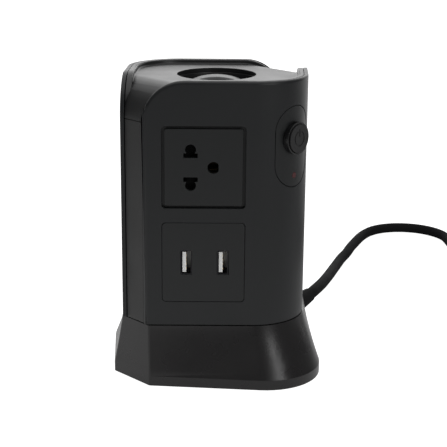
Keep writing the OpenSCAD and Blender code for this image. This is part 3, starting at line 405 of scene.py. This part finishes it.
def fade(value, low, high):
    """How far a value has come from low to high, as a share."""
    return min(max((value - low) / (high - low), 0), 1)


def outer_rim(turned):
    """The rim's outer edge is broadly rounded along its top, and less where it turns down."""
    def share(middle):
        x, y, z = (-middle.x, -middle.y, middle.z) if turned else middle
        along_top = z > rim_top - near_top
        if y < -face_out + near_face:
            from_bend = math.hypot(x - bend_middle[0], z - bend_middle[1])
            in_bend = x < bend_middle[0] and z > bend_middle[1]
            if along_top or (in_bend and abs(from_bend - bend_r) < near_bend):
                return fade(z, bend_middle[1], bend_middle[1] + bend_fade)
            return 0
        across, out = x - corner_middle[0], corner_middle[1] - y
        if along_top and min(across, out) > 0 and math.hypot(across, out) > corner_least:
            return fade(math.atan2(out, across), 0, corner_fade)
        return 0
    return share


for place, turned in (("front", False), ("rear", True)):
    edged(
        place + "_shell", place + "_wrap", shell_black, width=rim_round, rounds=5,
        broad=outer_rim(turned), fine=0.14, held=False,
    )

# Top cover and finger well. The cover is let in below the shells' rims and turns down over
# the two bevels; the well and its carrying bar are one moulding under its round opening.
cover_black = moulded(
    "cover_plastic", (0.011, 0.011, 0.0115), (0.0145, 0.0145, 0.015), sheen=(0.36, 0.44),
    depth=0.25,
)
border_corner, border_face = 0.0235, 0.0358
border_side, border_lean = 0.0436, 0.0588
border_foot, near_border, run_out = 0.157, 0.0004, 0.18
side_ends, face_ends = (-0.022, -0.006), (-0.0316, -0.0161)
bar_middle, bar_arch, bar_half = 0.1277, 0.0345, 0.007
near_side, near_arch = 0.0003, 0.0005


def border_edge(middle):
    """The border's inner edge has a broad cove, thinned out to nothing at the shoulder."""
    for x, y in ((middle.x, middle.y), (-middle.x, -middle.y)):
        left = 1
        if y > corner_middle[1]:
            off = x - border_side - border_lean * y
            left = fade(-y, *side_ends)
        elif x > corner_middle[0]:
            off = math.hypot(x - corner_middle[0], y - corner_middle[1]) - border_corner
        else:
            off = -y - border_face
            left = fade(x, *face_ends)
        if middle.z > border_foot and abs(off) < near_border:
            return (1 + run_out) * left - run_out
    return 0


def bar_edge(middle):
    """The two long upper edges of the carrying bar, where the fingers close round it."""
    arc = math.hypot(middle.x, middle.z - bar_middle)
    return abs(abs(middle.y) - bar_half) < near_side and abs(arc - bar_arch) < near_arch


edged(
    "top_cover", "lid", cover_black, width=0.0011, rounds=4,
    broad=border_edge, fine=0.15, held=False,
)
edged(
    "grip_well", "finger_well", cover_black, width=0.003, rounds=6,
    broad=bar_edge, fine=0.2, held=False,
)

# Side panels. Two narrow strips of slightly paler plastic close the bevels between the
# shells, from the skirt up to the turned-down ends of the cover.
side_black = moulded(
    "side_plastic", (0.013, 0.013, 0.013), (0.017, 0.017, 0.017), sheen=(0.4, 0.5),
)
for side in ("left", "right"):
    edged(side + "_side_panel", side + "_strip", side_black, width=0.0004)

# Flared foot. A smoother moulding than the shells, with a shine on its large corners, on a
# flat plate with four rubber feet.
skirt_black = moulded(
    "skirt_plastic", (0.012, 0.011, 0.0115), (0.016, 0.015, 0.0155), sheen=(0.24, 0.32),
    specular=0.45, depth=0.1,
)
plate_black = moulded(
    "plate_plastic", (0.016, 0.016, 0.017), (0.022, 0.022, 0.023), sheen=(0.5, 0.6),
    specular=0.4, depth=0.4,
)
foot_rubber = moulded(
    "foot_rubber", (0.012, 0.012, 0.012), (0.024, 0.024, 0.024), sheen=(0.75, 0.85),
    specular=0.3, depth=0.5, pits=1200,
)
edged("base_skirt", "flared_foot", skirt_black, width=0.0004, angle=12)
finished(plate_black, "base_plate")
finished(foot_rubber, "base_feet")

# Sockets. Each square face is let into its shell with a narrow groove round it. Behind its
# holes a holder carries brass contacts and a shutter on a coil spring.
face_black = moulded(
    "socket_plastic", (0.008, 0.009, 0.0095), (0.011, 0.012, 0.0125), sheen=(0.36, 0.44),
    specular=0.42, depth=0.25,
)
inner_black = moulded(
    "inner_plastic", (0.002, 0.002, 0.002), (0.004, 0.004, 0.004), sheen=(0.6, 0.7),
    specular=0.1,
)
# The contacts' brass is drawn far darker than bare brass, as painted shade within the socket
# holes.
brass_in_painted_shade = drawn_metal("brass_painted_dark", (0.16, 0.12, 0.07), 0.45, 0.6)
spring_wire = drawn_metal("spring_wire", (0.55, 0.55, 0.56), 0.22, 0.35)
upper_foot, lower_foot = 0.11023, 0.05871
for place, foot in (("front", upper_foot), ("rear_upper", upper_foot), ("rear_lower", lower_foot)):
    edged(
        place + "_socket_face", place + "_socket_plate", face_black,
        width=0.0003, angle=40,
    )
    finished(inner_black, place + "_socket_holder", place + "_shutter")
    finished(brass_in_painted_shade, place + "_power_contacts", place + "_earth_contact")
    coils = edged(
        place + "_shutter_spring", place + "_closing_coils", spring_wire,
        width=0.00005, angle=80,
    )
    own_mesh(coils)

# Charging ports. Two upright steel shells stand in the lower plate, each with a white
# tongue on its left that carries four brass contacts. They are soldered to a small board.
tongue_white = moulded(
    "tongue_white", (0.9, 0.9, 0.88), (0.96, 0.96, 0.94), sheen=(0.35, 0.45), depth=0.1,
)
board_green = moulded(
    "board_lacquer", (0.02, 0.11, 0.05), (0.03, 0.16, 0.07), sheen=(0.25, 0.35),
    depth=0.1, pits=600,
)
part_plastic = moulded(
    "part_plastic", (0.05, 0.06, 0.12), (0.2, 0.16, 0.06), sheen=(0.3, 0.45),
    depth=0.2, pits=300,
)
# The shells' steel is drawn nearly black, as painted shade within the port openings.
steel_in_painted_shade = drawn_metal("steel_painted_dark", (0.05, 0.05, 0.055), 0.35, 0.5)
brass = drawn_metal("rolled_brass", (0.72, 0.55, 0.26), 0.26, 0.4)
edged("usb_panel", "port_plate", face_black, width=0.0003, angle=40)
finished(steel_in_painted_shade, "usb_port_shells")
finished(tongue_white, "usb_tongues")
finished(brass, "usb_contacts")
finished(board_green, "usb_board")
finished(part_plastic, "usb_board_parts")

# Control pill. A slim plate follows the round corner and carries the collar of the push
# switch, its domed cap with the on and off mark, and a small red lamp.
collar_black = moulded(
    "collar_plastic", (0.005, 0.005, 0.0055), (0.008, 0.008, 0.0085), sheen=(0.18, 0.24),
    depth=0.05,
)
cap_black = moulded(
    "cap_plastic", (0.009, 0.009, 0.0095), (0.012, 0.012, 0.0125), sheen=(0.42, 0.5),
    specular=0.45, depth=0.15,
)
lamp_red = moulded(
    "lamp_red", (0.03, 0.003, 0.004), (0.045, 0.004, 0.005), sheen=(0.2, 0.3), depth=0.05,
)
lamp_surface = lamp_red.node_tree.nodes["Principled BSDF"]
lamp_surface.inputs["Emission Color"].default_value = (0.5, 0.02, 0.03, 1)
lamp_surface.inputs["Emission Strength"].default_value = 0.03
edged("control_panel", "pill_plate", face_black, width=0.0003, angle=40)
edged("button_collar", "switch_collar", collar_black, width=0.0004, angle=40)
edged("power_button", "switch_cap", cap_black, width=0.0005, angle=40)
finished(inner_black, "power_switch")
finished(lamp_red, "indicator_lens")
finished(tongue_white, "indicator_led")

# Inside. The frame stands on the deck and holds the sockets; copper bars and the three
# cores of the cord run from the terminal block, past the board that takes up surges.
terminal_white = moulded(
    "terminal_plastic", (0.6, 0.59, 0.54), (0.7, 0.69, 0.64), sheen=(0.4, 0.5), depth=0.2,
)
wire_sleeve = moulded(
    "wire_sleeve", (0.05, 0.03, 0.02), (0.05, 0.08, 0.14), sheen=(0.4, 0.5),
    depth=0.1, pits=200,
)
copper = drawn_metal("bus_copper", (0.72, 0.42, 0.24), 0.3, 0.45)
finished(inner_black, "inner_frame")
finished(terminal_white, "terminal_block")
finished(copper, "live_bar", "neutral_bar", "earth_bar")
finished(wire_sleeve, "supply_wires", "switch_wires")
finished(board_green, "surge_board")
finished(part_plastic, "surge_board_parts")

# Studio. A white sweep runs under the tower and up behind it, and the front of the room is
# dark, so that the black plastic stays deep and only its edges and its top catch the white.
white, sweep_half = (1, 1, 1, 1), 6
pool_middle, pool_near, pool_far = (-0.16, -0.08, 0), 0.1, 0.45
pool_bright, pool_dim = 0.48, 0.12
sweep_near, sweep_far, sweep_bright = 0.3, 0.6, 0.9
wall_near, wall_far, wall_dim, wall_bright = 0.5, 0.9, 0.16, 2.0


def seen_or_lit(tree, lit, target):
    """Full white where the camera sees the sweep itself, and lit where it only lights."""
    path = tree.nodes.new("ShaderNodeLightPath")
    choose = tree.nodes.new("ShaderNodeMix")
    choose.inputs["B"].default_value = 1.0
    tree.links.new(path.outputs["Is Camera Ray"], choose.inputs["Factor"])
    tree.links.new(lit, choose.inputs["A"])
    tree.links.new(choose.outputs["Result"], target)


floor_mesh = bpy.data.meshes.new("studio_floor")
floor_mesh.from_pydata(
    [(x * sweep_half, y * sweep_half, 0) for x, y in ((-1, -1), (1, -1), (1, 1), (-1, 1))],
    [], [(0, 1, 2, 3)],
)
floor_white = bpy.data.materials.new("studio_white")
floor_white.use_nodes = True
tree = floor_white.node_tree
surface = tree.nodes["Principled BSDF"]
surface.inputs["Base Color"].default_value = (0.5, 0.5, 0.5, 1)
surface.inputs["Roughness"].default_value = 0.9
surface.inputs["Specular IOR Level"].default_value = 0
surface.inputs["Emission Color"].default_value = white
place = tree.nodes.new("ShaderNodeTexCoord")
depth = tree.nodes.new("ShaderNodeSeparateXYZ")
tree.links.new(place.outputs["Object"], depth.inputs["Vector"])
away = tree.nodes.new("ShaderNodeVectorMath")
away.operation = "DISTANCE"
away.inputs[1].default_value = pool_middle
tree.links.new(place.outputs["Object"], away.inputs[0])
pool = span(
    tree.nodes, tree.links, away.outputs["Value"], pool_near, pool_far, pool_bright, pool_dim,
)
glow = span(
    tree.nodes, tree.links, depth.outputs["Y"], sweep_near, sweep_far, pool, sweep_bright,
)
seen_or_lit(tree, glow, surface.inputs["Emission Strength"])
floor_mesh.materials.append(floor_white)
studio_floor = bpy.data.objects.new("studio_floor", floor_mesh)
bpy.context.scene.collection.objects.link(studio_floor)

surround = bpy.data.worlds.new("studio_surround")
surround.use_nodes = True
tree = surround.node_tree
place = tree.nodes.new("ShaderNodeTexCoord")
depth = tree.nodes.new("ShaderNodeSeparateXYZ")
tree.links.new(place.outputs["Generated"], depth.inputs["Vector"])
glow = span(
    tree.nodes, tree.links, depth.outputs["Y"], wall_near, wall_far, wall_dim, wall_bright,
)
tree.nodes["Background"].inputs["Color"].default_value = white
seen_or_lit(tree, glow, tree.nodes["Background"].inputs["Strength"])
bpy.context.scene.world = surround


def soft_box(name, place, target, width, height, power):
    """A rectangular lamp at a place, turned to its target."""
    lamp = bpy.data.lights.new(name, "AREA")
    lamp.shape = "RECTANGLE"
    lamp.size, lamp.size_y, lamp.energy = width, height, power
    holder = bpy.data.objects.new(name, lamp)
    holder.location = place
    holder.rotation_euler = (Vector(target) - Vector(place)).to_track_quat("-Z", "Y").to_euler()
    bpy.context.scene.collection.objects.link(holder)


soft_box("overhead_box", (0, 0.05, 1.6), (0, 0, 0), width=1.8, height=1.8, power=12)
soft_box(
    "corner_box", (0.65, -0.95, 0.62), (0.03, -0.03, 0.03), width=0.35, height=0.3, power=2.4,
)
bpy.context.scene.view_settings.view_transform = "Standard"
bpy.context.scene.view_settings.look = "None"
